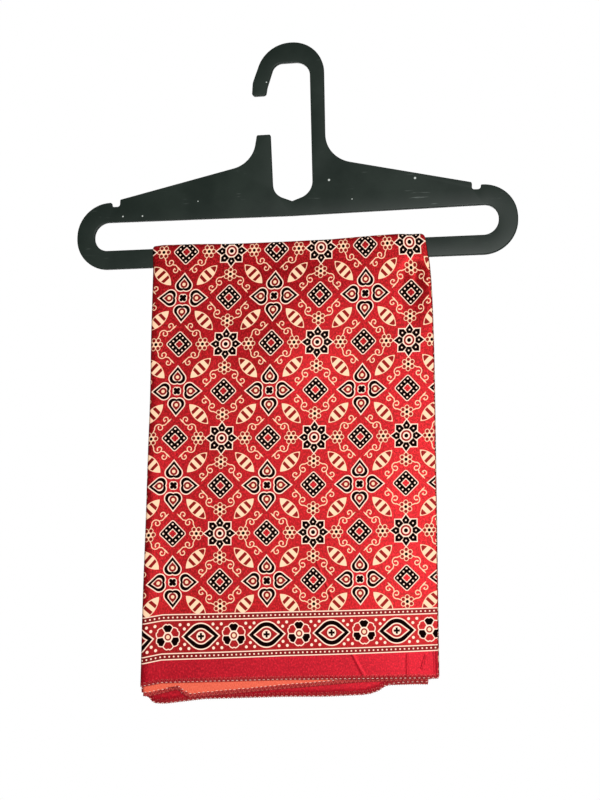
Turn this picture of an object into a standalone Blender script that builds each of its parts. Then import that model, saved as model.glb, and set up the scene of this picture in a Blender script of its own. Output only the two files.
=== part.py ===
"""A mashru silk stole hung over the lower bar of a flat moulded clothes hanger.

Metres, +Z up. X runs along the hanger and the viewer looks along +Y. The origin is where a
rail carries the hook: the top of its inner curve, in the middle of the hanger's thickness.
"""

import math

import bmesh
import bpy
from mathutils import Vector

MM = 0.001

# Hanger, in millimetres. Heights in its tables are measured from a level line 1.5 mm above
# the top of the lower bar, which lies SEAT_HEIGHT below the hook's seat.
SEAT_HEIGHT = 187.8
HANGER_THICKNESS = 4.5
EDGE_ROUNDING = 1.0
BAR_TOP = -1.5
ARC_STEP = math.radians(15)

# Each corner of the outline in turn: x, height, radius of its rounding.
END_CORNERS = (
    (222.5, -20.8, 33.8),
    (222.5, 49.2, 33.8),
    (187.0, 49.2, 1.4),
    (187.0, 44.6, 2.8),
    (178.3, 44.6, 2.8),
    (178.3, 52.0, 1.4),
)
STEM_AND_HOOK = (
    (33.5, 85.0, 33.0),
    (29.6, 209.4, 34.0),
    (-29.1, 209.4, 34.0),
    (-42.5, 168.5, 12.0),
    (-43.0, 154.4, 3.0),
    (-28.6, 154.4, 3.0),
    (-27.4, 163.0, 10.0),
    (-20.3, 187.8, 10.5),
    (15.9, 187.8, 15.5),
    (21.2, 49.2, 17.0),
    (0.6, 41.7, 0.6),
    (-19.0, 49.6, 17.0),
    (-23.0, 112.5, 1.5),
    (-37.0, 112.5, 1.5),
    (-41.0, 83.2, 28.0),
)
LONG_SLOT = (
    (-204.0, BAR_TOP, 14.6),
    (204.0, BAR_TOP, 14.6),
    (204.0, 29.0, 14.6),
    (0.0, 26.8, 60.0),
    (-204.0, 28.6, 14.6),
)

# Stole, in millimetres. Its plies are numbered from the bar outwards, 0 to 3. Folded lengthwise,
# it has a printed ply outside and a lining ply inside, which is the other half of the cloth.
CLOTH_THICKNESS = 1.0
PLY_PITCH = 1.4
SEAT_GAP = 0.6
SIDE_CLEARANCE = 2.0
BACK_DROP = 412.0
BACK_SLOPE = 14.0
LEFT_EDGE = -140.3
RIGHT_FOLD = 132.8
PLY_INSET = 3.5
INNER_INSET = 11.0

# How far each ply hangs in front: its drop at the fold, the step in its hem near the fold, how
# much further it hangs towards its free edge, and how much more at that edge's corner.
HEM_DROPS = {
    ("outer", "printed"): (416.7, 0.0, 7.0, 5.0),
    ("outer", "lining"): (416.7, 0.0, 19.0, 0.0),
    ("inner", "lining"): (421.5, 10.5, 11.5, 0.0),
    ("inner", "printed"): (421.5, 0.0, 14.5, 0.0),
}

PLY_STEPS = 12
FOLD_STEPS = 3
ARCH_STEPS = 7
HAIRPIN_STEPS = 4
# Distances below the bar at which the hanging plies have a row, as shares of their drop.
HANGING_ROWS = (0.0, 0.035, 0.09, 0.17, 0.30, 0.45, 0.60, 0.76, 0.90, 1.0)


def clear_scene():
    for thing in list(bpy.data.objects):
        bpy.data.objects.remove(thing)


def material(name, colour, roughness, metallic=0.0):
    made = bpy.data.materials.new(name)
    made.use_nodes = True
    shader = made.node_tree.nodes["Principled BSDF"]
    shader.inputs["Base Color"].default_value = (*colour, 1.0)
    shader.inputs["Roughness"].default_value = roughness
    shader.inputs["Metallic"].default_value = metallic
    made.diffuse_color = (*colour, 1.0)
    return made


def add_object(name, shape, finish):
    mesh = bpy.data.meshes.new(name)
    shape.to_mesh(mesh)
    shape.free()
    mesh.materials.append(finish)
    made = bpy.data.objects.new(name, mesh)
    bpy.context.scene.collection.objects.link(made)
    return made


def rounded_outline(corners):
    """Points of a closed outline whose corners, given as (x, height, radius), are arcs."""
    points = []
    for index, (x, z, radius) in enumerate(corners):
        here = Vector((x, z))
        before = (Vector(corners[index - 1][:2]) - here).normalized()
        after = (Vector(corners[(index + 1) % len(corners)][:2]) - here).normalized()
        half_angle = before.angle(after) / 2
        turn = math.pi - 2 * half_angle
        steps = max(2, math.ceil(turn / ARC_STEP))
        centre = here + (before + after).normalized() * radius / math.sin(half_angle)
        start = here + before * radius / math.tan(half_angle) - centre
        side = 1 if before.cross(after) < 0 else -1
        for step in range(steps + 1):
            angle = side * turn * step / steps
            turned = Vector((
                start.x * math.cos(angle) - start.y * math.sin(angle),
                start.x * math.sin(angle) + start.y * math.cos(angle),
            ))
            points.append(centre + turned)
    return points


def mirrored(corners):
    """The same corners on the other side of the hanger, in the order that carries on round."""
    return tuple((-x, z, radius) for x, z, radius in reversed(corners))


def moved_inwards(points, distance):
    """A closed outline moved to the left of its direction of travel."""
    moved = []
    for index, here in enumerate(points):
        arriving = (here - points[index - 1]).normalized()
        leaving = (points[(index + 1) % len(points)] - here).normalized()
        arriving_left = Vector((-arriving.y, arriving.x))
        left = (arriving_left + Vector((-leaving.y, leaving.x))).normalized()
        moved.append(here + left * distance / left.dot(arriving_left))
    return moved


def edge_profile():
    """(depth, distance in from the outline) of each ring, front face to back face."""
    flat = HANGER_THICKNESS / 2 - EDGE_ROUNDING
    quarter = [math.radians(angle) for angle in (90, 45, 0)]
    front = [
        (-flat - EDGE_ROUNDING * math.sin(angle), EDGE_ROUNDING * (1 - math.cos(angle)))
        for angle in quarter
    ]
    return front + [(-depth, distance) for depth, distance in reversed(front)]


def add_hanger():
    """One flat moulding: arms, end loops, lower bar, and an open hook beside its post."""
    outer = rounded_outline(END_CORNERS + STEM_AND_HOOK + mirrored(END_CORNERS))
    slot = rounded_outline(LONG_SLOT)
    shape = bmesh.new()
    face_edges = {"front": [], "back": []}
    for points, inwards in ((outer, 1), (slot, -1)):
        rings = []
        for depth, distance in edge_profile():
            rings.append([
                shape.verts.new((p.x * MM, depth * MM, (p.y - SEAT_HEIGHT) * MM))
                for p in moved_inwards(points, inwards * distance)
            ])
        for ring, after in zip(rings, rings[1:]):
            for i in range(len(ring)):
                shape.faces.new((ring[i - 1], ring[i], after[i], after[i - 1]))
        for side, ring in (("front", rings[0]), ("back", rings[-1])):
            face_edges[side] += [
                shape.edges.get((ring[i - 1], ring[i])) for i in range(len(ring))
            ]
    for edges in face_edges.values():
        bmesh.ops.triangle_fill(shape, use_beauty=True, edges=edges)
    bmesh.ops.recalc_face_normals(shape, faces=shape.faces)
    hanger = add_object("hanger", shape, material("satin plastic", (0.024, 0.035, 0.031), 0.42))
    hanger.data.shade_smooth()
    hanger.data.set_sharp_from_angle(angle=math.radians(35))
    return hanger


def ease(value):
    """0 to 1 with a soft start and a soft end."""
    value = min(max(value, 0.0), 1.0)
    return value * value * (3 - 2 * value)


def left_edge(drop, inset):
    """Where a ply's left edge hangs: it drifts right by 2.6 mm on its way down."""
    return LEFT_EDGE + 0.006 * drop + inset


def right_edge(drop, inset):
    """Where the long fold hangs: it is drawn in at the bar and opens out below it."""
    opening = 6.5 * (1 - math.exp(-drop / 35)) + 6.0 * drop / 420
    return RIGHT_FOLD + opening - inset


def wave(x, drop):
    """How far the hanging cloth swells forward or back, in millimetres, growing downwards."""
    grown = ease(drop / 260)
    broad = 1.6 * math.cos((x + 20) / 52) + 0.5 * math.cos((x - 60) / 25)
    trough = 1.8 * math.exp(-((x - 127) / 9) ** 2) * ease(drop / 30) * (1 - ease((drop - 60) / 90))
    return broad * grown + trough


def drawn_together(drop):
    """How far each side of the stole moves in once it is below the bar."""
    return 3.0 * ease((drop - 24) / 60)


def hem_drop(run, ply, distance):
    """How far a ply hangs in front, at a share of the way from the fold to its free edge."""
    at_fold, step, even, corner = HEM_DROPS[run, ply]
    return at_fold + step * ease((distance - 0.07) / 0.10) + even * distance + corner * distance**5


def across(column):
    """(share of the ply from its left edge to the fold, place between the two plies, curl).

    The place runs from 1 on the ply with the print showing to 0 on the ply behind it, and the
    curl is how far the point stands out beyond the fold, in half pitches.
    """
    if column <= PLY_STEPS:
        return column / PLY_STEPS, 1.0, 0.0
    if column >= PLY_STEPS + FOLD_STEPS:
        return (2 * PLY_STEPS + FOLD_STEPS - column) / PLY_STEPS, 0.0, 0.0
    angle = math.pi * (column - PLY_STEPS) / FOLD_STEPS
    return 1.0, 0.5 + 0.5 * math.cos(angle), math.sin(angle)


def along():
    """Rows of the stole in order: its stage, a share of that stage, and the run it is in."""
    down = [("front", share, "outer") for share in reversed(HANGING_ROWS)]
    arch = [("arch", step / ARCH_STEPS, "outer") for step in range(1, ARCH_STEPS)]
    back = [("back", share, "outer") for share in HANGING_ROWS]
    outer = down + arch + back
    hairpin = [("hairpin", step / HAIRPIN_STEPS, "outer") for step in range(1, HAIRPIN_STEPS)]
    inner = [(stage, share, "inner") for stage, share, _ in reversed(outer)]
    return outer + hairpin + inner


def stole_point(column, row):
    """A point of the cloth's middle surface, in millimetres, heights from the level line."""
    share, place, curl = across(column)
    stage, amount, run = row
    ply_name = "printed" if place >= 0.5 else "lining"
    # The outer run turns its printed ply outwards and the inner run turns it to the bar.
    ply = 2 + place if run == "outer" else 1 - place
    turn = math.pi * amount
    if stage == "hairpin":
        ply = 1.5 + (0.5 + place) * math.cos(turn)
    inner_radius = HANGER_THICKNESS / 2 + SIDE_CLEARANCE
    offset = inner_radius + CLOTH_THICKNESS / 2 + ply * PLY_PITCH
    arch_height = BAR_TOP + SEAT_GAP - inner_radius

    if stage == "arch":
        drop = 0.0
    elif stage == "front":
        drop = hem_drop(run, ply_name, 1 - share) * amount
    else:
        drop = (BACK_DROP + BACK_SLOPE * (1 - share)) * (1.0 if stage == "hairpin" else amount)
    # The inner run's ends hang a little in from those of the outer one.
    inset = INNER_INSET * ease(drop / 400) if (run, stage) == ("inner", "front") else 0.0
    left = left_edge(drop, 0.3 * inset + (PLY_INSET if ply_name == "lining" else 0.0))
    x = left * (1 - share) + right_edge(drop, inset) * share + curl * PLY_PITCH / 2
    if stage == "arch":
        return Vector((x, -offset * math.cos(turn), arch_height + offset * math.sin(turn)))
    height = arch_height - drop
    if stage == "hairpin":
        height -= (0.5 + place) * PLY_PITCH * math.sin(turn)
    side = -1 if stage == "front" else 1
    return Vector((x, side * (offset - drawn_together(drop)) + wave(x, drop), height))


def add_stole():
    """One sheet folded lengthwise, then across, and hung over the bar by its middle.

    Its section is one back-and-forth run of four plies in front of the bar and four behind.
    """
    columns = range(2 * PLY_STEPS + FOLD_STEPS + 1)
    rows = along()
    lift = Vector((0, 0, SEAT_HEIGHT))
    shape = bmesh.new()
    grid = [
        [shape.verts.new((stole_point(column, row) - lift) * MM) for column in columns]
        for row in rows
    ]
    for r in range(len(rows) - 1):
        for c in range(len(columns) - 1):
            a, b = grid[r][c], grid[r][c + 1]
            d, e = grid[r + 1][c], grid[r + 1][c + 1]
            # Neighbouring plies are cut along the same diagonal, so that they stay apart.
            second_ply = c >= PLY_STEPS + FOLD_STEPS // 2
            second_pass = r >= len(rows) // 2
            if second_ply == second_pass:
                shape.faces.new((a, b, e))
                shape.faces.new((a, e, d))
            else:
                shape.faces.new((a, b, d))
                shape.faces.new((b, e, d))
    stole = add_object("stole", shape, material("printed silk", (0.45, 0.012, 0.025), 0.38))
    thickness = stole.modifiers.new("cloth thickness", "SOLIDIFY")
    thickness.thickness = CLOTH_THICKNESS * MM
    thickness.offset = 0.0
    thickness.use_even_offset = True
    stole.data.shade_smooth()
    return stole


clear_scene()
add_hanger()
add_stole()
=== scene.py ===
"""A mashru silk stole hung over the lower bar of a flat moulded clothes hanger.

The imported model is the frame. The hanger is rebuilt round the same outline with finer
rounding, and the stole as one thin folded sheet in the place of its solid. Lengths in the
tables are millimetres, and heights are measured from a level line, SEAT_HEIGHT below the
origin, which is the top of the hook's inner curve. The viewer looks along +Y.
"""

import math
import random

import bmesh
import bpy
import numpy as np
from mathutils import Matrix, Vector


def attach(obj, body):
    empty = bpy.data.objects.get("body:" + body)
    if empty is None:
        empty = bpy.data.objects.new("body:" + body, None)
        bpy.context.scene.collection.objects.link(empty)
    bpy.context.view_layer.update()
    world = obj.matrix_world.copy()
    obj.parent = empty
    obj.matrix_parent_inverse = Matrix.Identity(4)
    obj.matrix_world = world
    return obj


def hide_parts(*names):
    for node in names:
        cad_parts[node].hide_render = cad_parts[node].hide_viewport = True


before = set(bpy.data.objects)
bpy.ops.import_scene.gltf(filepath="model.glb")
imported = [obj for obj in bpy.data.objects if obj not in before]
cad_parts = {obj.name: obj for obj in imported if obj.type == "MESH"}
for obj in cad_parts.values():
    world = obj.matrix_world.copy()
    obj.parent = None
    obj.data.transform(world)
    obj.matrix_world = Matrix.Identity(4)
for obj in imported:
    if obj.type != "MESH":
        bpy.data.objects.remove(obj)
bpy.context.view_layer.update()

MM = 0.001
SEAT_HEIGHT = 187.8

# Hanger: each corner of its outline in turn, as x, height and the radius of its rounding.
HANGER_THICKNESS = 4.5
EDGE_ROUNDING = 1.0
BAR_TOP = -1.5
BAR_DEPTH = 17.5
ARC_STEP = math.radians(5)
EDGE_STEPS = 5
END_CORNERS = (
    (222.5, -20.8, 33.8),
    (222.5, 49.2, 33.8),
    (187.0, 49.2, 1.4),
    (187.0, 44.6, 2.8),
    (178.3, 44.6, 2.8),
    (178.3, 52.0, 1.4),
)
STEM_AND_HOOK = (
    (33.5, 85.0, 33.0),
    (29.6, 209.4, 34.0),
    (-29.1, 209.4, 34.0),
    (-42.5, 168.5, 12.0),
    (-43.0, 154.4, 3.0),
    (-28.6, 154.4, 3.0),
    (-27.4, 163.0, 10.0),
    (-20.3, 187.8, 10.5),
    (15.9, 187.8, 15.5),
    (21.2, 49.2, 17.0),
    (0.6, 41.7, 0.6),
    (-19.0, 49.6, 17.0),
    (-23.0, 112.5, 1.5),
    (-37.0, 112.5, 1.5),
    (-41.0, 83.2, 28.0),
)
LONG_SLOT = (
    (-204.0, BAR_TOP, 14.6),
    (204.0, BAR_TOP, 14.6),
    (204.0, 29.0, 14.6),
    (0.0, 26.8, 60.0),
    (-204.0, 28.6, 14.6),
)

# Stole. Its plies are numbered from the bar outwards, 0 to 3. It is folded lengthwise, so it
# has a printed ply outside and a lining ply inside, and its fold is on the right.
CLOTH = 0.32
BAR_GAP = 0.25
ARCH_CENTRE = -3.75
ARCH_SQUARENESS = 0.68
LOOSE_PITCH = 0.95
LEFT_EDGE = -140.6
PRINT_LEFT = -140.3
LEFT_DRAW_IN = 2.6
LEFT_FADE = 70.0
RIGHT_FOLD = 132.8
RIGHT_SPREAD = 6.5
RIGHT_FADE = 35.0
RIGHT_LEAN = 6.0 / 420
BACK_FOLD = -418.5
BACK_SLOPE = 14.0
LINING_INSET = 3.2
FOLD_TURN = 1.5
CURL_WIDTH = 6.0
CURL_DEPTH = 1.7
LEFT_CORNER = 2.0
RIGHT_CORNER = 4.5
INNER_LEFT_INSET = 0.5
INNER_RIGHT_INSET = 10.0
CLOSING_IN = 0.8

# Heights of the four hems in front, each as x and height, from the left edge to the fold.
HEMS = {
    ("outer", "printed"): (
        (-138, -433.9), (-120, -430.2), (0, -425.2), (70, -423.6), (146, -421.6),
    ),
    ("outer", "lining"): (
        (-134, -442.6), (-106, -435.6), (-96, -443.4), (-50, -438.4), (7, -432.4), (26, -430.6),
        (45, -428.6), (64, -426.8), (78, -425.6), (111, -424.3), (132, -424.0), (140, -421.5),
        (146, -420.5),
    ),
    ("inner", "lining"): (
        (-136, -442.5), (-133, -446.6), (-128, -449.0), (-117, -448.9), (-79, -444.1),
        (-31, -442.0), (7, -440.4), (45, -439.7), (87, -437.2), (97, -434.2), (103, -429.8),
        (114, -426.6), (136, -425.4),
    ),
    ("inner", "printed"): ((-132, -439.0), (0, -433.0), (136, -427.0)),
}

PLY_COLUMNS = 112
FOLD_COLUMNS = 6
LINING_COLUMNS = 42
FRONT_ROWS = 128
BACK_ROWS = 50
INNER_FRONT_ROWS = 64
INNER_BACK_ROWS = 20
ARCH_ROWS = 14
HAIRPIN_ROWS = 8

# The print's repeat, its border's repeat and where both are placed, in cloth millimetres: the
# first number runs across from a cross, the second up from the hem.
REPEAT = 91.2
FIRST_CROSS_ROW = 94.2
FIRST_SCROLL = 70.5
STOLE_LENGTH = 1738.8
BORDER_REPEAT = 63.4
BORDER_START = -5.1
BORDER_MIDDLE = 43.9
INNER_LINE = 15.1
OUTER_LINE = 20.5
LINE_HALF = 0.55
DOT_PITCH = 4.3

# The overlocking along both hems.
STITCH_PITCH = 2.15
STITCH_RISE = 3.7
THREAD_RADIUS = 0.27
THREAD_SIDES = 5


# ---- Stage, camera and lights ----

CAMERA_PLACE = (0.3037, -1.3957, -0.6108)
CAMERA_TURNS = (-11.82, -10.49, 0.95)
CAMERA_LENS = 67.5
FLOOR_HALF = 1.6
FLOOR_HEIGHT = -1.15
ROOM_LIGHT = 0.25
KEY_PLACE = (0.26, -1.15, -0.36)
KEY_TARGET = (0.0, 0.0, -0.40)
KEY_SIZE = (0.6, 0.4)
KEY_POWER = 15.0
REAR_PLACE = (-0.35, 1.3, -0.1)
REAR_TARGET = (0.0, 0.0, -0.35)
REAR_SIZE = (0.9, 0.9)
REAR_POWER = 9.0


def srgb(red, green, blue, alpha=1.0):
    """A linear colour from display values out of 255."""
    linear = []
    for value in (red, green, blue):
        value /= 255
        linear.append(value / 12.92 if value <= 0.04045 else ((value + 0.055) / 1.055) ** 2.4)
    return (*linear, alpha)


def add_camera():
    """The photograph's camera: right of the cloth and below its middle, facing left and up."""
    turn, tilt, roll = (math.radians(angle) for angle in CAMERA_TURNS)
    facing = Matrix(((1, 0, 0), (0, 0, -1), (0, 1, 0)))
    turned = Matrix.Rotation(turn, 3, "Z")
    tilted = Matrix.Rotation(tilt, 3, "X")
    rolled = Matrix.Rotation(roll, 3, "Z")
    rows = rolled @ tilted @ facing @ turned
    place = Matrix((rows[0], -rows[1], -rows[2])).transposed().to_4x4()
    place.translation = CAMERA_PLACE
    data = bpy.data.cameras.new("camera")
    data.lens = CAMERA_LENS
    data.clip_start = 0.05
    data.clip_end = 50.0
    camera = bpy.data.objects.new("camera", data)
    camera.matrix_world = place
    bpy.context.scene.collection.objects.link(camera)
    bpy.context.scene.camera = camera


def add_area_light(name, place, target, size, power):
    data = bpy.data.lights.new(name, "AREA")
    data.shape = "RECTANGLE"
    data.size, data.size_y = size
    data.energy = power
    light = bpy.data.objects.new(name, data)
    light.location = place
    direction = Vector(target) - Vector(place)
    light.rotation_euler = direction.to_track_quat("-Z", "Y").to_euler()
    bpy.context.scene.collection.objects.link(light)


def add_stage():
    """A pale floor, half a metre under the hanging cloth."""
    shape = bmesh.new()
    bmesh.ops.create_grid(shape, x_segments=1, y_segments=1, size=FLOOR_HALF)
    mesh = bpy.data.meshes.new("floor")
    shape.to_mesh(mesh)
    shape.free()
    floor = bpy.data.objects.new("floor", mesh)
    floor.location = (0.0, 0.0, FLOOR_HEIGHT)
    bpy.context.scene.collection.objects.link(floor)
    paper = bpy.data.materials.new("pale paper")
    paper.use_nodes = True
    shader = paper.node_tree.nodes["Principled BSDF"]
    shader.inputs["Base Color"].default_value = (0.93, 0.93, 0.93, 1.0)
    shader.inputs["Roughness"].default_value = 0.9
    mesh.materials.append(paper)


def add_light():
    """A soft key, a light behind for the back, and a room that looks white but lights little."""
    world = bpy.data.worlds.new("studio")
    world.use_nodes = True
    f = Formula(world.node_tree)
    background = world.node_tree.nodes["Background"]
    background.inputs["Color"].default_value = (1.0, 1.0, 1.0, 1.0)
    seen = f.node("ShaderNodeLightPath").outputs["Is Camera Ray"]
    f.feed(background.inputs["Strength"],
           f.number("MULTIPLY_ADD", seen, 1.0 - ROOM_LIGHT, ROOM_LIGHT))
    bpy.context.scene.world = world
    add_area_light("key", KEY_PLACE, KEY_TARGET, KEY_SIZE, KEY_POWER)
    add_area_light("rear", REAR_PLACE, REAR_TARGET, REAR_SIZE, REAR_POWER)
    bpy.context.scene.view_settings.view_transform = "Standard"


# ---- Shader arithmetic ----


class Formula:
    """Arithmetic on a material's sockets, so that a pattern reads as a formula."""

    def __init__(self, tree):
        self.tree = tree

    def node(self, kind, **settings):
        made = self.tree.nodes.new(kind)
        for name, value in settings.items():
            setattr(made, name, value)
        return made

    def feed(self, socket, value):
        if isinstance(value, bpy.types.NodeSocket):
            self.tree.links.new(value, socket)
        else:
            socket.default_value = value

    def number(self, operation, *values, clamp=False):
        made = self.node("ShaderNodeMath", operation=operation, use_clamp=clamp)
        for socket, value in zip(made.inputs, values):
            self.feed(socket, value)
        return made.outputs[0]

    def vector(self, operation, *values):
        made = self.node("ShaderNodeVectorMath", operation=operation)
        for socket, value in zip(made.inputs, values):
            self.feed(socket, value)
        scalar = operation in ("LENGTH", "DISTANCE", "DOT_PRODUCT")
        return made.outputs["Value" if scalar else "Vector"]

    def add(self, a, b):
        return self.number("ADD", a, b)

    def less(self, a, b):
        return self.number("SUBTRACT", a, b)

    def times(self, a, b):
        return self.number("MULTIPLY", a, b)

    def size(self, a):
        return self.number("ABSOLUTE", a)

    def smaller(self, first, *others):
        for other in others:
            first = self.number("MINIMUM", first, other)
        return first

    def larger(self, first, *others):
        for other in others:
            first = self.number("MAXIMUM", first, other)
        return first

    def point(self, x, y):
        made = self.node("ShaderNodeCombineXYZ")
        self.feed(made.inputs["X"], x)
        self.feed(made.inputs["Y"], y)
        return made.outputs[0]

    def parts(self, vector):
        made = self.node("ShaderNodeSeparateXYZ")
        self.feed(made.inputs[0], vector)
        return made.outputs["X"], made.outputs["Y"], made.outputs["Z"]

    def folded(self, value, period):
        """The distance from value to the nearest multiple of period."""
        return self.number("PINGPONG", value, period / 2)

    def inside(self, distance, softness):
        """1 inside a shape and 0 outside it, from its distance, with a soft edge."""
        return self.number("MULTIPLY_ADD", distance, -1 / softness, 0.5, clamp=True)

    def ramp(self, value, low, high, out_low=0.0, out_high=1.0):
        made = self.node("ShaderNodeMapRange", interpolation_type="SMOOTHSTEP")
        for socket, given in zip(made.inputs, (value, low, high, out_low, out_high)):
            self.feed(socket, given)
        return made.outputs[0]

    def blend(self, share, under, over):
        """The colour under, covered by the colour over by that share."""
        made = self.node("ShaderNodeMix", data_type="RGBA")
        self.feed(made.inputs["Factor"], share)
        self.feed(made.inputs[6], under)
        self.feed(made.inputs[7], over)
        return made.outputs[2]

    def noise(self, place, scale, detail=2.0, roughness=0.5):
        made = self.node("ShaderNodeTexNoise")
        self.feed(made.inputs["Vector"], place)
        made.inputs["Scale"].default_value = scale
        made.inputs["Detail"].default_value = detail
        made.inputs["Roughness"].default_value = roughness
        return made.outputs["Fac"]

    # Distances from a point to simple shapes: below 0 inside them.

    def disc(self, point, centre, radius):
        return self.less(self.vector("DISTANCE", point, (*centre, 0.0)), radius)

    def line(self, point, start, end, half):
        """A straight stroke with round ends."""
        span = Vector((end[0] - start[0], end[1] - start[1], 0.0))
        away = self.vector("SUBTRACT", point, (*start, 0.0))
        along = self.vector("DOT_PRODUCT", away, span / span.length_squared)
        along = self.number("MINIMUM", self.number("MAXIMUM", along, 0.0), 1.0)
        made = self.node("ShaderNodeVectorMath", operation="SCALE")
        self.feed(made.inputs[0], span)
        self.feed(made.inputs["Scale"], along)
        return self.less(self.vector("DISTANCE", away, made.outputs[0]), half)

    def arc(self, point, centre, radius, half, gap_middle, gap_half):
        """A ring's stroke with a gap, given by its middle and half its width in degrees."""
        away = self.vector("SUBTRACT", point, (*centre, 0.0))
        reach = self.vector("LENGTH", away)
        ring = self.less(self.size(self.less(reach, radius)), half)
        middle = math.radians(gap_middle)
        facing = self.vector("DOT_PRODUCT", away, (math.cos(middle), math.sin(middle), 0.0))
        edge = self.times(reach, math.cos(math.radians(gap_half)))
        return self.larger(ring, self.less(facing, edge))

    def heart(self, point, lobe, radius, tip):
        """Half a heart along the x axis: a round lobe off the axis, then a straight side."""
        reach = Vector((tip - lobe[0], -lobe[1]))
        lean = math.atan2(reach.y, reach.x) - math.asin(radius / reach.length)
        side = (math.cos(lean), math.sin(lean), 0.0)
        outward = (-math.sin(lean), math.cos(lean), 0.0)
        away = self.vector("SUBTRACT", point, (*lobe, 0.0))
        past = self.number("GREATER_THAN", self.vector("DOT_PRODUCT", away, side), 0.0)
        made = self.node("ShaderNodeMix", data_type="FLOAT")
        self.feed(made.inputs["Factor"], past)
        self.feed(made.inputs[2], self.vector("LENGTH", away))
        self.feed(made.inputs[3], self.vector("DOT_PRODUCT", away, outward))
        return self.less(made.outputs[0], radius)

    def lens(self, point, length, width):
        """A pointed oval on the x axis, in the quarter where x and y are above 0."""
        radius = (length**2 + width**2) / (2 * width)
        return self.disc(point, (0.0, width - radius), radius)


# ---- The print ----

# Each ink's colour, then how metallic, how rough and how specular it leaves the satin. An ink
# that isn't in the list is the bare satin.
INKS = {
    "dark red": (srgb(126, 8, 9), (0.35, 0.5, 0.15, 1.0)),
    "deep red": (srgb(116, 6, 11), (0.25, 0.5, 0.15, 1.0)),
    "cream": (srgb(252, 216, 193), (0.0, 0.6, 0.05, 1.0)),
    "peach": (srgb(247, 202, 166), (0.0, 0.6, 0.05, 1.0)),
    "black": (srgb(12, 3, 3), (0.0, 0.9, 0.0, 1.0)),
}
SATIN = (0.5, 0.42, 0.24, 1.0)
SHEEN_COLOUR = (1.0, 0.82, 0.78, 1.0)
LIGHT_GAIN = 0.25
DARK_GAIN = 0.45
SOFT = 0.0036
BORDER_SOFT = 0.36


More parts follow.
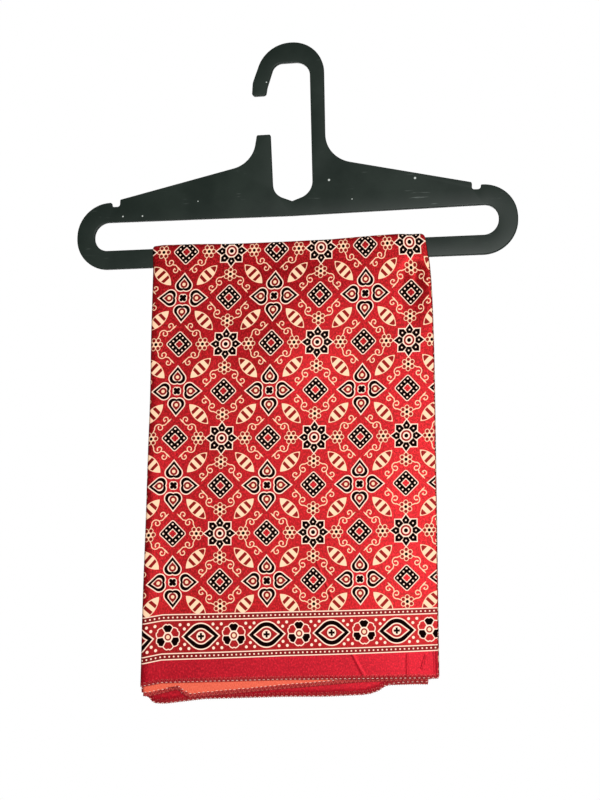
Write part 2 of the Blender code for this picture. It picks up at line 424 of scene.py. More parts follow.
def field_layers(f, across, up):
    """Inks of the all-over repeat: crosses, flowers, diamonds, rosettes, leaves and scrolls.

    It is the same in every eighth of a square, so the whole is folded into the triangle
    between a cross at 0, 0, a diamond at 0.5, 0 and a flower at 0.5, 0.5. All lengths here
    are shares of the repeat.
    """
    u = f.folded(f.times(across, 1 / REPEAT), 1.0)
    v = f.folded(f.times(f.less(up, FIRST_CROSS_ROW), 1 / REPEAT), 1.0)
    a, b = f.larger(u, v), f.smaller(u, v)
    here = f.point(a, b)

    # Cross: four hearts round a small square with a black quatrefoil.
    petal = f.heart(here, (0.134, 0.030), 0.067, 0.278)
    petal_inner = f.heart(here, (0.1425, 0.016), 0.0375, 0.222)
    petal_ring = f.heart(here, (0.148, 0.0), 0.0380, 0.203)
    petal_heart = f.disc(here, (0.148, 0.0), 0.0185)
    square = f.less(f.larger(a, f.less(f.times(f.add(a, b), 0.72), 0.005)), 0.045)
    quatrefoil = f.smaller(
        f.disc(here, (0.0175, 0.0175), 0.0175),
        f.disc(here, (0.0, 0.0), 0.019),
    )

    # Flower: a square with a point on each side, and eight black petals with a dot in each.
    # Its middle is where a and b are 0.5.
    m, n = f.less(0.5, b), f.less(0.5, a)
    slant_m = f.times(f.add(m, n), math.sqrt(0.5))
    slant_n = f.times(f.less(m, n), math.sqrt(0.5))
    straight_side = f.less(f.times(n, 0.899), f.times(m, 0.438))
    slanted_foot = f.less(f.times(slant_n, 0.862), f.times(slant_m, 0.507))
    pointed = f.less(f.add(f.times(m, 0.59), f.times(n, 0.807)), 0.59 * 0.184)
    star = f.smaller(pointed, f.less(m, 0.1255))
    flower_petal = f.smaller(
        f.larger(f.add(pointed, 0.0120), f.add(straight_side, 0.0125), f.less(0.071, m)),
        f.larger(f.less(m, 0.1135), f.less(slant_n, 0.0350), f.add(slanted_foot, 0.0098),
                 f.less(0.071, slant_m)),
    )
    petal_point = f.point(f.larger(m, slant_m), f.smaller(n, slant_n))
    petal_dot = f.disc(petal_point, (0.1075, 0.0), 0.0092)
    from_flower = f.vector("LENGTH", petal_point)

    # Diamond: a black band with twelve dots. Its middle is where a is 0.5 and b is 0.
    across_diamond = f.less(0.5, a)
    p = f.times(f.add(across_diamond, b), math.sqrt(0.5))
    q = f.times(f.size(f.less(across_diamond, b)), math.sqrt(0.5))
    corner = f.vector("MAXIMUM", f.point(f.less(p, 0.078), f.less(q, 0.078)), (0.0, 0.0, 0.0))
    diamond = f.less(f.vector("LENGTH", corner), 0.028)
    diamond_inner = f.less(p, 0.0385)
    diamond_dot = f.disc(f.point(p, f.size(f.less(q, 0.0460))), (0.0700, 0.0220), 0.0094)
    lobes = f.point(f.larger(across_diamond, b), f.smaller(across_diamond, b))
    diamond_heart = f.disc(lobes, (0.0185, 0.0), 0.0172)

    # Rosette, half way between the diamond and the flower.
    from_rosette = f.point(f.size(f.less(b, 0.25)), across_diamond)
    bead = f.smaller(
        f.vector("DISTANCE", from_rosette, (0.0490, 0.0, 0.0)),
        f.vector("DISTANCE", from_rosette, (0.0245, 0.0424, 0.0)),
    )
    rosette = f.smaller(f.less(bead, 0.0262), f.less(f.vector("LENGTH", from_rosette), 0.045))
    rosette_dot = f.less(f.vector("LENGTH", from_rosette), 0.0160)

    # Scrolls from the rosette: a stem with two curls and a pointed end.
    s = f.point(b, across_diamond)
    half = 0.0055
    scroll = f.smaller(
        f.line(s, (0.232, 0.064), (0.2190, 0.095), half),
        f.arc(s, (0.176, 0.108), 0.042, half, -100.0, 80.0),
        f.arc(s, (0.157, 0.113), 0.0235, half, 115.0, 65.0),
        f.disc(s, (0.176, 0.120), 0.0070),
        f.line(s, (0.142, 0.136), (0.108, 0.142), half),
        f.line(s, (0.108, 0.142), (0.079, 0.171), half),
        f.arc(s, (0.104, 0.199), 0.0240, half, -112.0, 42.0),
        f.disc(s, (0.111, 0.187), 0.0070),
        f.line(s, (0.079, 0.173), (0.062, 0.189), 0.0085),
        f.line(s, (0.062, 0.189), (0.047, 0.202), 0.0040),
    )
    scroll = f.larger(scroll, f.less(FIRST_SCROLL, up))

    # Leaf on the diagonal, crossed by two bars and dark at the tip that is nearer the flower.
    e = f.less(f.times(f.add(a, b), math.sqrt(0.5)), 0.346)
    leaf_point = f.point(f.size(e), f.times(f.less(a, b), math.sqrt(0.5)))
    leaf = f.lens(leaf_point, 0.149, 0.062)
    bars = f.smaller(
        f.less(f.size(f.less(e, 0.016)), 0.0160),
        f.less(f.size(f.add(e, 0.058)), 0.0155),
        f.less(f.size(f.less(e, 0.103)), 0.0225),
    )
    bars = f.larger(bars, f.add(leaf, 0.0105))

    return (
        ("peach", f.smaller(leaf, rosette, scroll)),
        ("dark red", f.smaller(bars, f.less(bead, 0.0172))),
        ("cream", f.smaller(petal, square, star, diamond)),
        ("black", f.smaller(f.add(petal, 0.0130), quatrefoil, flower_petal, f.add(diamond, 0.011))),
        ("cream", f.smaller(petal_inner, petal_dot, diamond_dot, diamond_inner)),
        ("red", diamond_heart),
        ("dark red", f.smaller(petal_ring, ring_of(f, from_flower, 0.0480, 0.0090))),
        ("peach", petal_heart),
        ("black", f.smaller(f.less(from_flower, 0.0210), rosette_dot)),
    )


def ring_of(f, reach, radius, half):
    return f.less(f.size(f.less(reach, radius)), half)


def border_layers(f, across, up):
    """Inks of the border: flowers and eyes in turn, between two lines of dots."""
    half_repeat = BORDER_REPEAT / 2
    into_repeat = f.number("FLOORED_MODULO", f.add(across, half_repeat - BORDER_START),
                           BORDER_REPEAT)
    x = f.size(f.less(into_repeat, half_repeat))
    signed_y = f.less(up, BORDER_MIDDLE)
    y = f.size(signed_y)

    # Lines with dots between them, on both sides of the band.
    middle_line = (INNER_LINE + OUTER_LINE) / 2
    from_middle = f.size(f.less(y, middle_line))
    lines = f.less(f.size(f.less(from_middle, (OUTER_LINE - INNER_LINE) / 2)), LINE_HALF)
    dotted = f.less(from_middle, (OUTER_LINE - INNER_LINE) / 2)
    bead = f.disc(f.point(f.folded(across, DOT_PITCH), f.less(y, middle_line)), (0.0, 0.0), 0.85)

    # Flower with six petals, black and red in turn.
    p = f.larger(y, f.add(f.times(x, 0.866), f.times(y, 0.5)))
    q = f.smaller(x, f.size(f.less(f.times(x, 0.5), f.times(y, 0.866))))
    petal_point = f.point(p, q)
    notch = f.disc(petal_point, (12.9, 0.0), 1.3)
    outline = f.larger(f.disc(petal_point, (6.4, 0.0), 5.9), f.number("MULTIPLY", notch, -1.0))
    sector = f.less(f.times(q, 0.866), f.times(p, 0.5))
    petal = f.larger(
        f.disc(petal_point, (6.4, 0.0), 4.75),
        f.add(sector, 0.6),
        f.less(4.7, p),
        f.less(1.15, notch),
    )
    turns = f.times(signed_y, f.less(f.times(f.times(x, x), 3.0), f.times(y, y)))
    black_petal = f.larger(petal, turns)
    reach = f.vector("LENGTH", petal_point)

    # Eye: a black lens round a red one, with a small cross in its middle.
    eye_point = f.point(f.less(half_repeat, x), y)
    eye = f.heart(eye_point, (0.0, -1.2), 13.8, 18.9)
    eye_inner = f.heart(eye_point, (0.0, -0.8), 8.4, 12.8)
    eye_x, eye_y, _ = f.parts(eye_point)
    plus = f.larger(f.less(f.larger(eye_x, eye_y), 2.9), f.less(f.smaller(eye_x, eye_y), 0.95))

    # Three dots above and three below, between each flower and eye.
    between = f.point(f.size(f.less(x, half_repeat / 2)), y)
    spots = f.smaller(f.disc(between, (4.0, 11.0), 1.45), f.disc(between, (0.0, 7.1), 1.45))

    return (
        ("deep red", f.larger(dotted, f.less(INNER_LINE, y))),
        ("cream", f.smaller(lines, bead, outline, f.less(reach, 4.2), eye, spots)),
        ("red", petal),
        ("black", f.smaller(black_petal, f.add(eye, 1.3))),
        ("cream", f.smaller(eye_inner, f.less(reach, 4.2))),
        ("red", f.add(eye_inner, 1.3)),
        ("dark red", f.smaller(f.disc(eye_point, (0.0, 0.0), 5.4), f.less(reach, 3.1))),
        ("cream", f.disc(eye_point, (0.0, 0.0), 4.4)),
        ("peach", f.less(reach, 1.9)),
        ("black", plus),
    )


def painted(f, layers, ground, softness):
    """The colour and finish of the satin once its inks are laid over it in turn."""
    colour, finish = ground, SATIN
    for ink, distance in layers:
        over, over_finish = INKS.get(ink, (ground, SATIN))
        gain = -LIGHT_GAIN if ink in ("cream", "peach") else DARK_GAIN
        share = f.inside(f.less(distance, gain * softness), softness)
        colour = f.blend(share, colour, over)
        finish = f.blend(share, finish, over_finish)
    return colour, finish


# How far the weave's grain stands up.
GRAIN_HEIGHT = 0.22

# Sharp creases in the front ply: both ends as x and height, half the width, and the rise.
CREASES = (
    ((31.7, -315.6), (47.5, -351.0), 2.2, 0.30),
    ((67.0, -401.5), (79.5, -424.0), 2.6, 0.32),
    ((117.6, -400.8), (117.6, -423.4), 2.2, 0.35),
    ((134.3, -400.6), (130.6, -412.4), 1.8, 0.30),
    ((142.6, -392.0), (143.2, -421.0), 2.4, -0.60),
)


def crease_place(x, height):
    """Where a place on the front ply lies in the cloth, across and up from the hem."""
    drop = ARCH_CENTRE - height
    bottom = read_table(HEMS["outer", "printed"], x)
    across, up = print_place(x, drop, drop / (ARCH_CENTRE - bottom))
    return float(across), float(up)


def lining_place(x, height):
    """The same for a place on the second ply, beyond the fold."""
    drop = ARCH_CENTRE - height
    down = drop / (ARCH_CENTRE - read_table(HEMS["outer", "lining"], x))
    across, up = print_place(x, drop, down)
    fold, _ = print_place(right_edge(drop), drop, down)
    return float(2 * fold + FOLD_TURN - across), float(up)


def cloth_place(f):
    """A place in the flat cloth: across, up from the front hem, and from the nearer hem."""
    stored = f.node("ShaderNodeAttribute", attribute_name="print")
    return f.parts(stored.outputs["Vector"])


def printed_satin():
    """Deep red satin printed in cream, peach and black, at the places kept in the cloth."""
    made = bpy.data.materials.new("printed satin")
    made.use_nodes = True
    f = Formula(made.node_tree)
    shader = made.node_tree.nodes["Principled BSDF"]
    across, up, rise = cloth_place(f)
    place = f.point(across, up)
    up = f.smaller(up, f.less(STOLE_LENGTH, up))

    # The dye is a little uneven, and each thread catches the light in its own way.
    stretched = f.vector("MULTIPLY", place, (0.62, 0.45, 1.0))
    threads = f.noise(stretched, 1.0, detail=3.0, roughness=0.7)
    patches = f.noise(place, 0.035, detail=2.0)
    ground = f.blend(f.ramp(patches, 0.3, 0.7), srgb(146, 4, 11), srgb(158, 6, 16))
    ground = f.blend(f.ramp(threads, 0.36, 0.50, 0.75, 0.0), ground, srgb(106, 3, 8))
    ground = f.blend(f.ramp(threads, 0.50, 0.64, 0.0, 0.75), ground, srgb(206, 29, 41))

    field = painted(f, field_layers(f, across, up), ground, SOFT)
    border_ground = f.blend(0.5, ground, INKS["dark red"][0])
    border = painted(f, border_layers(f, across, up), border_ground, BORDER_SOFT)
    past_border = f.inside(f.less(BORDER_MIDDLE + OUTER_LINE + LINE_HALF, up), 0.3)
    plain = f.inside(f.less(up, BORDER_MIDDLE - OUTER_LINE - LINE_HALF), 0.3)
    plain_colour = f.blend(0.25, ground, srgb(180, 6, 48))
    colour, finish = (f.blend(past_border, under, over) for under, over in zip(border, field))
    colour = f.blend(plain, colour, plain_colour)
    f.feed(shader.inputs["Base Color"], stitched(f, colour, across, rise, 0.4))
    metallic, roughness, specular = f.parts(f.blend(plain, finish, SATIN))
    f.feed(shader.inputs["Metallic"], metallic)
    f.feed(shader.inputs["Roughness"], f.add(roughness, f.ramp(threads, 0.2, 0.8, -0.06, 0.06)))
    f.feed(shader.inputs["Specular IOR Level"], specular)
    shader.inputs["Specular Tint"].default_value = SHEEN_COLOUR

    # The weave's grain and the sharp creases, both as heights in millimetres.
    grain = f.noise(f.vector("MULTIPLY", place, (1.6, 0.9, 1.0)), 1.0, detail=3.0, roughness=0.6)
    height = f.times(grain, GRAIN_HEIGHT)
    for start, end, half, rise in CREASES:
        along = f.line(place, crease_place(*start), crease_place(*end), 0.0)
        height = f.add(height, f.ramp(along, 0.0, half, rise, 0.0))
    bump = f.node("ShaderNodeBump")
    bump.inputs["Distance"].default_value = MM
    f.feed(bump.inputs["Height"], height)
    f.feed(shader.inputs["Normal"], bump.outputs[0])
    return made


def stitched(f, colour, across, rise, share):
    """A colour, covered near the hem by the overlocking's dark thread, with a pale zigzag."""
    zigzag = f.times(f.folded(across, 2 * STITCH_PITCH), STITCH_RISE / STITCH_PITCH)
    pale = f.inside(f.less(f.size(f.less(rise, zigzag)), 0.55), 0.5)
    band = f.blend(f.times(pale, 0.55), srgb(124, 9, 20), srgb(232, 108, 94))
    covered = f.inside(f.less(rise, STITCH_RISE), 0.5)
    return f.blend(f.times(covered, share), colour, band)


def cloth_back():
    """The cotton side, salmon where the red dye shows through, with a painted shadow along the
    pleat.
    """
    made = bpy.data.materials.new("salmon cotton back")
    made.use_nodes = True
    f = Formula(made.node_tree)
    shader = made.node_tree.nodes["Principled BSDF"]
    across, up, rise = cloth_place(f)
    place = f.point(across, up)
    stretched = f.vector("MULTIPLY", place, (1.6, 0.5, 1.0))
    threads = f.noise(stretched, 1.0, detail=3.0, roughness=0.7)
    colour = f.blend(f.ramp(threads, 0.3, 0.7), srgb(200, 74, 52), srgb(232, 108, 82))
    # Painted shadow: a dark line along the pleat's edge, laid over the stitched band.
    shadow = f.line(place, lining_place(*PLEAT[0]), lining_place(*PLEAT[1]), 0.3)
    colour = stitched(f, colour, across, rise, 0.9)
    colour = f.blend(f.times(f.inside(shadow, 1.2), 0.85), colour, srgb(60, 6, 8))
    f.feed(shader.inputs["Base Color"], colour)
    shader.inputs["Roughness"].default_value = 0.75
    shader.inputs["Specular IOR Level"].default_value = 0.2
    bump = f.node("ShaderNodeBump")
    bump.inputs["Strength"].default_value = 0.4
    bump.inputs["Distance"].default_value = 0.15 * MM
    f.feed(bump.inputs["Height"], threads)
    f.feed(shader.inputs["Normal"], bump.outputs[0])
    return made


def thread(name, colour, light_colour):
    made = bpy.data.materials.new(name)
    made.use_nodes = True
    f = Formula(made.node_tree)
    shader = made.node_tree.nodes["Principled BSDF"]
    place = f.node("ShaderNodeTexCoord").outputs["Object"]
    f.feed(shader.inputs["Base Color"],
           f.blend(f.ramp(f.noise(place, 900.0), 0.35, 0.65), colour, light_colour))
    shader.inputs["Roughness"].default_value = 0.6
    shader.inputs["Specular IOR Level"].default_value = 0.15
    return made


# ---- The stole ----

# Height of the cloth's top over the bar: x and height.
TOPS = (
    (-140, 1.3), (-131, 2.0), (-94, 1.6), (-60, 0.5), (-38, 0.3), (0, 0.3), (50, 0.6), (76, 1.6),
    (100, 2.5), (123, 2.9), (134, 2.2),
)


def ease(value):
    """0 to 1 with a soft start and a soft end."""
    value = np.clip(value, 0.0, 1.0)
    return value * value * (3 - 2 * value)


def read_table(table, x):
    xs, heights = zip(*table)
    return np.interp(x, xs, heights)


def left_edge(drop):
    """Where the free edge of the printed ply hangs, that far below the bar."""
    return LEFT_EDGE + LEFT_DRAW_IN * (1 - np.exp(-drop / LEFT_FADE))


def right_edge(drop):
    """The same for the fold, which spreads under the bar and then leans out."""
    return RIGHT_FOLD + RIGHT_SPREAD * (1 - np.exp(-drop / RIGHT_FADE)) + RIGHT_LEAN * drop


# Soft folds of the hanging cloth: x, height, half width, half height and how far forward. The
# first is the trough beside the fold.
SWELLS = (
    (123.0, -43.0, 9.0, 32.0, -5.8),
    (0.0, -98.0, 44.0, 58.0, 4.4),
    (-92.0, -112.0, 30.0, 44.0, 2.0),
    (-142.0, -90.0, 24.0, 46.0, 3.2),
    (-142.0, -215.0, 24.0, 60.0, 2.2),
    (-142.0, -345.0, 24.0, 80.0, 3.0),
    (98.0, -235.0, 26.0, 100.0, 0.8),
    (66.0, -350.0, 52.0, 100.0, 1.6),
)


def wave(x, drop):
    """How far the hanging cloth lies back from a flat fall, a little more near the fold."""
    back = 1.2 * ease((x - 98) / 44) * ease((drop - 60) / 60)
    for middle, height, half_width, half_height, forward in SWELLS:
        up = ARCH_CENTRE - drop - height
        reach = ((x - middle) / half_width) ** 2 + (up / half_height) ** 2
        back = back - forward * np.exp(-reach)
    return back * ease((drop - BAR_DEPTH) / 14)


def stole_columns():
    """Each column's share of its ply from the left edge to the fold, place and curl.

    The place runs from 1 on the printed ply to 0 on the lining ply, and the curl is how far
    the column stands out beyond the fold, in half pitches. The lining ply's columns are
    closer together near both of its edges, where the cloth bends most.
    """
    printed = np.linspace(0, 1, PLY_COLUMNS + 1)
    angles = np.linspace(0, math.pi, FOLD_COLUMNS + 1)[1:-1]
    steps = np.linspace(0, 1, LINING_COLUMNS + 1)
    lining = 1 - steps + 0.6 * np.sin(2 * math.pi * steps) / (2 * math.pi)
    share = np.concatenate((printed, np.ones(len(angles)), lining))
    turning = 0.5 + 0.5 * np.cos(angles)
    place = np.concatenate((np.ones(len(printed)), turning, np.zeros(len(lining))))
    curl = np.concatenate((np.zeros(len(printed)), np.sin(angles), np.zeros(len(lining))))
    return share, place, curl


def stole_rows():
    """Rows from one hem to the other: stage, a share of that stage, and the run it is in."""

    def run(front, back, name):
        down = [("front", amount, name) for amount in np.linspace(1, 0, front + 1)]
        over = [("arch", amount, name) for amount in np.linspace(0, 1, ARCH_ROWS + 1)[1:-1]]
        behind = [("back", amount, name) for amount in np.linspace(0, 1, back + 1)]
        return down + over + behind

    turn = [("hairpin", amount, "outer") for amount in np.linspace(0, 1, HAIRPIN_ROWS + 1)[1:-1]]
    inner = run(INNER_FRONT_ROWS, INNER_BACK_ROWS, "inner")
    return run(FRONT_ROWS, BACK_ROWS, "outer") + turn + inner[::-1]


# The pleat in the corner of the second ply: its line, and how far it stands out and runs.
PLEAT = ((-110.0, -432.7), (-95.0, -443.5))
PLEAT_RISE = 0.9
PLEAT_RUN = 26.0


def pleat(x, height, shown):
    """How far the second ply stands forward beyond the pleat's line, below the first hem."""
    (x0, z0), (x1, z1) = PLEAT
    length = math.hypot(x1 - x0, z1 - z0)
    beyond = ((x - x0) * (z0 - z1) + (height - z0) * (x1 - x0)) / length
    return (
        PLEAT_RISE * ease(beyond / 1.6) * (1 - ease((beyond - 3) / PLEAT_RUN))
        * ease((shown - height) / 3.5)
    )


def lay_row(row, share, place, curl):
    """Points of a row, x, y and height, and how far down its ply each is, from 0 to 1."""
    stage, amount, run = row
    printed = place >= 0.5
    ply = 2 + place if run == "outer" else 1 - place
    turn = math.pi * amount
    if stage == "hairpin":
        ply = 1.5 + (0.5 + place) * math.cos(turn)
    rough_x = LEFT_EDGE * (1 - share) + (RIGHT_FOLD + 12.5) * share
    bottoms = BACK_FOLD - BACK_SLOPE * (1 - share)
    if stage == "front":
        shown = read_table(HEMS[run, "printed"], rough_x)
        hidden = read_table(HEMS[run, "lining"], rough_x)
        bottoms = hidden + (shown - hidden) * place
    reach = {"arch": 0.0, "hairpin": 1.0}.get(stage, amount)
    height = ARCH_CENTRE + (bottoms - ARCH_CENTRE) * reach
    drop = ARCH_CENTRE - height

    inset = ease(drop / 400) if (run, stage) == ("inner", "front") else 0.0
    left = left_edge(drop) + LINING_INSET * (1 - place) + INNER_LEFT_INSET * inset
    right = right_edge(drop) - INNER_RIGHT_INSET * inset
    at_bar = (read_table(TOPS, rough_x) - BAR_TOP - BAR_GAP - CLOTH) / 3
    pitch = at_bar + (LOOSE_PITCH - at_bar) * ease(drop / 60)
    if stage == "arch":
        left = left + LEFT_CORNER * math.sin(turn) ** 2
        right = right - RIGHT_CORNER * math.sin(turn) ** 2
    x = left * (1 - share) + right * share + curl * pitch / 2
    offset = HANGER_THICKNESS / 2 + BAR_GAP + CLOTH / 2 + ply * pitch
    if stage == "arch":
        sideways = math.copysign(abs(math.cos(turn)) ** ARCH_SQUARENESS, math.cos(turn))
        height = ARCH_CENTRE + offset * math.sin(turn) ** ARCH_SQUARENESS
        return x, -offset * sideways, height, np.zeros_like(x)
    if stage == "hairpin":
        height = height - (0.5 + place) * pitch * math.sin(turn)
    offset = offset - CLOSING_IN * ease((drop - 24) / 60)
    y = (-offset if stage == "front" else offset) + wave(x, drop)
    if run == "outer" and stage == "front":
        y = y - pleat(x, height, shown) * (place == 0)
    # The free edge of the printed ply curls back a little.
    curled = np.where(printed, np.clip(1 - (x - left) / CURL_WIDTH, 0, 1) ** 2, 0.0)
    y = y + (CURL_DEPTH if stage == "front" else -CURL_DEPTH) * curled * ease(drop / 20)
    return x, y, height, drop / (ARCH_CENTRE - bottoms)


def print_place(x, drop, down):
    """Where the print lies on a hanging ply: across from a cross, and up from the hem.

    The weave hangs a little askew, so both change with the share across and the share down,
    and the print droops at the left corner of the hem.
    """
    left = PRINT_LEFT + 0.006 * drop
    share = (x - left) / (right_edge(drop) - left)
    across = (
        -34.2 + 263.9 * share + 29.2 * down + 9.0 * share * down + 14.0 * share**2
        - 27.6 * down**2
    )
    up = (
        416.1 + 5.8 * share - 410.4 * down + 28.4 * share * down - 5.9 * share**2
        - 14.5 * down**2 - 34.4 * share * down**2 + 11.2 * down**3
    )
    droop = 0.7 * np.clip(1 - share / 0.17, 0, 1) ** 2 * ease((down - 0.6) / 0.3)
    return across, up + droop


def stole_grid():
    """Points of the cloth's middle surface, in millimetres, and each one's place when flat."""
    share, place, curl = stole_columns()
    rows = stole_rows()
    points, across, up = [], [], []
    for row in rows:
        x, y, height, down = lay_row(row, share, place, curl)
        points.append(np.stack((x, y, height - SEAT_HEIGHT), axis=1))
        drop = np.maximum(ARCH_CENTRE - height, 0)
        here, above = print_place(x, drop, down)
        fold, _ = print_place(right_edge(drop), drop, down)
        beyond = 2 * fold + FOLD_TURN - here
        turning = fold + FOLD_TURN * (1 - place)
        across.append(np.where(place == 1, here, np.where(place == 0, beyond, turning)))
        up.append(above)
    points, across, up = np.array(points), np.array(across), np.array(up)

    # From the top of the outer run to that of the inner one, the print follows the cloth.
    steps = np.linalg.norm(np.diff(points, axis=0), axis=2)
    walked = np.concatenate((np.zeros((1, steps.shape[1])), np.cumsum(steps, axis=0)))
    start = FRONT_ROWS
    end = len(rows) - 1 - INNER_FRONT_ROWS
    share_walked = (walked[start : end + 1] - walked[start]) / (walked[end] - walked[start])
    up[end:] = STOLE_LENGTH - up[end:]
    up[start : end + 1] = up[start] + (up[end] - up[start]) * share_walked
    rise = np.minimum(walked, walked[-1] - walked)
    return points, np.stack((across, up, rise), axis=2)


def add_mesh(name, vertices, faces, materials, slots=None):
    mesh = bpy.data.meshes.new(name)
    mesh.from_pydata(vertices, [], faces)
    for material in materials:
        mesh.materials.append(material)
    if slots is not None:
        mesh.polygons.foreach_set("material_index", slots)
    mesh.shade_smooth()
    made = bpy.data.objects.new(name, mesh)
    bpy.context.scene.collection.objects.link(made)
    return made


def add_stole(points, cloth_places):
    rows, columns = points.shape[:2]
    index = np.arange(rows * columns).reshape(rows, columns)
    faces = np.stack(
        (index[:-1, :-1], index[:-1, 1:], index[1:, 1:], index[1:, :-1]), axis=2
    ).reshape(-1, 4)
    cut_edge = thread("cut edge", srgb(190, 40, 50), srgb(220, 80, 80))
    finishes = (printed_satin(), cloth_back(), cut_edge)
    vertices = (points.reshape(-1, 3) * MM).tolist()
    stole = add_mesh("stole_cloth", vertices, faces.tolist(), finishes)
    places = stole.data.attributes.new("print", "FLOAT_VECTOR", "POINT")
    places.data.foreach_set("vector", cloth_places.astype(np.float32).ravel())
    thickness = stole.modifiers.new("cloth thickness", "SOLIDIFY")
    thickness.thickness = CLOTH * MM
    thickness.offset = 0.0
    thickness.material_offset = 1
    thickness.material_offset_rim = 2
    return stole


# ---- Overlocked hems ----


def add_tube(vertices, faces, path, radius):
    """A closed thread along a path of points, with a ring of corners at each."""
    path = np.array(path)
    ahead = np.gradient(path, axis=0)
    ahead /= np.linalg.norm(ahead, axis=1, keepdims=True)
    first = len(vertices)
    side = np.cross(ahead[0], (0.31, 0.17, 0.93))
    for at, facing in zip(path, ahead):
        side = side - facing * side.dot(facing)
        side /= np.linalg.norm(side)
        other = np.cross(facing, side)
        for step in range(THREAD_SIDES):
            angle = 2 * math.pi * step / THREAD_SIDES
            vertices.append(at + radius * (math.cos(angle) * side + math.sin(angle) * other))
    for ring in range(len(path) - 1):
        base = first + ring * THREAD_SIDES
        for step in range(THREAD_SIDES):
            after = (step + 1) % THREAD_SIDES
            faces.append((base + step, base + after, base + THREAD_SIDES + after,
                          base + THREAD_SIDES + step))
    last = first + (len(path) - 1) * THREAD_SIDES
    faces.append(tuple(first + step for step in reversed(range(THREAD_SIDES))))
    faces.append(tuple(last + step for step in range(THREAD_SIDES)))


def hem_frames(edge, above):
    """Stations one stitch apart along a hem: place, direction along it, up and outwards."""
    steps = np.linalg.norm(np.diff(edge, axis=0), axis=1)
    walked = np.concatenate(((0,), np.cumsum(steps)))
    stations = np.arange(0.8, walked[-1] - 0.8, STITCH_PITCH)
    at = np.stack([np.interp(stations, walked, edge[:, k]) for k in range(3)], axis=1)
    over = np.stack([np.interp(stations, walked, above[:, k]) for k in range(3)], axis=1)
    up = over - at
    up /= np.linalg.norm(up, axis=1, keepdims=True)
    along = np.gradient(at, axis=0)
    along -= up * np.sum(along * up, axis=1, keepdims=True)
    along /= np.linalg.norm(along, axis=1, keepdims=True)
    outwards = np.cross(along, up)
    return zip(at, along, up, outwards)


def add_overlock(points):
    """Thread loops over both hems, with a pale needle thread along the top of each row."""
    rng = random.Random(7)
    vertices, faces, dashes = [], [], []
    skin = CLOTH / 2 + THREAD_RADIUS * 0.8
    for edge, above, facing in ((points[0], points[2], 1), (points[-1], points[-3], -1)):
        for count, (at, along, up, out) in enumerate(hem_frames(edge, above)):
            out = out * facing
            lean = rng.uniform(0.5, 0.9)
            rise = STITCH_RISE + rng.uniform(-0.35, 0.35)
            path = (
                at + up * rise + out * (skin - 0.25) + along * lean,
                at + up * rise * 0.55 + out * (skin + 0.12) + along * lean * 0.4,
                at + up * 0.5 + out * skin,
                at - up * 0.35,
                at + up * 0.5 - out * skin,
                at + up * rise * 0.55 - out * (skin + 0.12) - along * lean * 0.4,
                at + up * rise - out * (skin - 0.25) - along * lean,
            )
            add_tube(vertices, faces, path, THREAD_RADIUS)
            if count % 2 == 0:
                dashes.append((at + up * 0.7, along, out))
                dashes.append((at + up * (rise + 0.1), along, -out))
    red_faces = len(faces)
    for at, along, out in dashes:
        path = (
            at - along * 0.95 + out * (skin - 0.45),
            at - along * 0.5 + out * (skin + 0.1),
            at + along * 0.5 + out * (skin + 0.1),
            at + along * 0.95 + out * (skin - 0.45),
        )
        add_tube(vertices, faces, path, THREAD_RADIUS * 0.95)
    finishes = (
        thread("red overlock thread", srgb(140, 16, 30), srgb(206, 66, 70)),
        thread("pale needle thread", srgb(240, 190, 175), srgb(255, 226, 212)),
    )
    slots = [0] * red_faces + [1] * (len(faces) - red_faces)
    places = (np.array(vertices) * MM).tolist()
    return add_mesh("stole_overlock", places, faces, finishes, slots)


# ---- The hanger ----


def rounded_outline(corners):
    """Points of a closed outline whose corners, given as (x, height, radius), are arcs."""
    points = []
    for index, (x, z, radius) in enumerate(corners):
        here = Vector((x, z))
        before = (Vector(corners[index - 1][:2]) - here).normalized()
        after = (Vector(corners[(index + 1) % len(corners)][:2]) - here).normalized()
        half_angle = before.angle(after) / 2
        turn = math.pi - 2 * half_angle
        steps = max(3, math.ceil(turn / ARC_STEP))
        centre = here + (before + after).normalized() * radius / math.sin(half_angle)
        start = here + before * radius / math.tan(half_angle) - centre
        side = 1 if before.cross(after) < 0 else -1
        for step in range(steps + 1):
            angle = side * turn * step / steps
            turned = Vector((
                start.x * math.cos(angle) - start.y * math.sin(angle),
                start.x * math.sin(angle) + start.y * math.cos(angle),
            ))
            points.append(centre + turned)
    return points


def mirrored(corners):
    """The same corners on the other side of the hanger, in the order that carries on round."""
    return tuple((-x, z, radius) for x, z, radius in reversed(corners))


def moved_inwards(points, distance):
    """A closed outline moved to the left of its direction of travel."""
    moved = []
    for index, here in enumerate(points):
        arriving = (here - points[index - 1]).normalized()
        leaving = (points[(index + 1) % len(points)] - here).normalized()
        arriving_left = Vector((-arriving.y, arriving.x))
        left = (arriving_left + Vector((-leaving.y, leaving.x))).normalized()
        moved.append(here + left * distance / left.dot(arriving_left))
    return moved


def edge_profile():
    """(depth, distance in from the outline) of each ring, front face to back face."""
    flat = HANGER_THICKNESS / 2 - EDGE_ROUNDING
    quarter = [math.pi / 2 * (1 - step / EDGE_STEPS) for step in range(EDGE_STEPS + 1)]
    front = [
        (-flat - EDGE_ROUNDING * math.sin(angle), EDGE_ROUNDING * (1 - math.cos(angle)))
        for angle in quarter
    ]
    return front + [(-depth, distance) for depth, distance in reversed(front)]


# Pale specks on the hanger's face: x, height and radius.
SPECKS = (
    (37.7, 61.3, 1.0), (123.2, 58.8, 1.0), (-174.4, 33.8, 0.7), (-153.7, 33.3, 0.7),
    (-28.0, 168.0, 0.6), (61.0, 40.5, 0.5), (-96.0, 46.0, 0.5), (189.0, 20.0, 0.6),
)


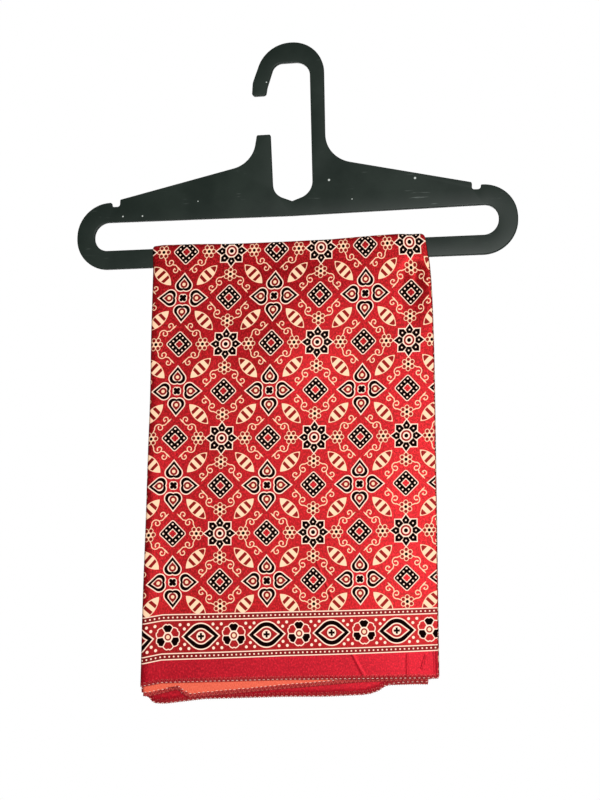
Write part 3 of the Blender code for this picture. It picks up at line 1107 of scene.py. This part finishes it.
def moulded_plastic():
    """Dark greenish plastic with a fine grain, pale scuffs and a few specks."""
    made = bpy.data.materials.new("dark moulded plastic")
    made.use_nodes = True
    f = Formula(made.node_tree)
    shader = made.node_tree.nodes["Principled BSDF"]
    place = f.node("ShaderNodeTexCoord").outputs["Object"]
    clouds = f.noise(place, 14.0, detail=4.0, roughness=0.6)
    base = f.blend(f.ramp(clouds, 0.3, 0.7), srgb(14, 26, 20), srgb(22, 34, 27))
    streaks = f.noise(f.vector("MULTIPLY", place, (60.0, 60.0, 420.0)), 1.0, detail=4.0)
    scuffed = f.times(f.ramp(streaks, 0.60, 0.78), f.ramp(f.noise(place, 30.0), 0.52, 0.70))
    base = f.blend(f.times(scuffed, 0.35), base, srgb(150, 158, 154))
    for x, height, radius in SPECKS:
        centre = (x * MM, 0.0, (height - SEAT_HEIGHT) * MM)
        away = f.vector("DISTANCE", f.vector("MULTIPLY", place, (1.0, 0.0, 1.0)), centre)
        speck = f.ramp(away, radius * 0.5 * MM, radius * 1.5 * MM, 0.85, 0.0)
        base = f.blend(speck, base, srgb(214, 220, 214))
    f.feed(shader.inputs["Base Color"], base)
    f.feed(shader.inputs["Roughness"], f.ramp(clouds, 0.25, 0.75, 0.40, 0.56))
    shader.inputs["Specular IOR Level"].default_value = 0.30
    bump = f.node("ShaderNodeBump")
    bump.inputs["Strength"].default_value = 0.25
    bump.inputs["Distance"].default_value = 0.1 * MM
    f.feed(bump.inputs["Height"], f.noise(place, 1400.0, detail=2.0))
    f.feed(shader.inputs["Normal"], bump.outputs[0])
    return made


def add_hanger():
    """One flat moulding: arms, end loops, lower bar, and an open hook beside its post."""
    outer = rounded_outline(END_CORNERS + STEM_AND_HOOK + mirrored(END_CORNERS))
    slot = rounded_outline(LONG_SLOT)
    shape = bmesh.new()
    face_edges = {"front": [], "back": []}
    for points, inwards in ((outer, 1), (slot, -1)):
        rings = []
        for depth, distance in edge_profile():
            rings.append([
                shape.verts.new((p.x * MM, depth * MM, (p.y - SEAT_HEIGHT) * MM))
                for p in moved_inwards(points, inwards * distance)
            ])
        for ring, after in zip(rings, rings[1:]):
            for i in range(len(ring)):
                shape.faces.new((ring[i - 1], ring[i], after[i], after[i - 1]))
        for side, ring in (("front", rings[0]), ("back", rings[-1])):
            face_edges[side] += [
                shape.edges.get((ring[i - 1], ring[i])) for i in range(len(ring))
            ]
    for edges in face_edges.values():
        bmesh.ops.triangle_fill(shape, use_beauty=True, edges=edges)
    bmesh.ops.recalc_face_normals(shape, faces=shape.faces)
    mesh = bpy.data.meshes.new("hanger_moulding")
    shape.to_mesh(mesh)
    shape.free()
    mesh.materials.append(moulded_plastic())
    mesh.shade_smooth()
    mesh.set_sharp_from_angle(angle=math.radians(30))
    hanger = bpy.data.objects.new("hanger_moulding", mesh)
    bpy.context.scene.collection.objects.link(hanger)
    return hanger


def main():
    add_camera()
    add_stage()
    add_light()

    hanger = add_hanger()
    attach(hanger, "root")
    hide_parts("hanger")

    points, cloth_places = stole_grid()
    stole = add_stole(points, cloth_places)
    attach(stole, "root")
    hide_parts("stole")
    overlock = add_overlock(points)
    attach(overlock, "root")


main()
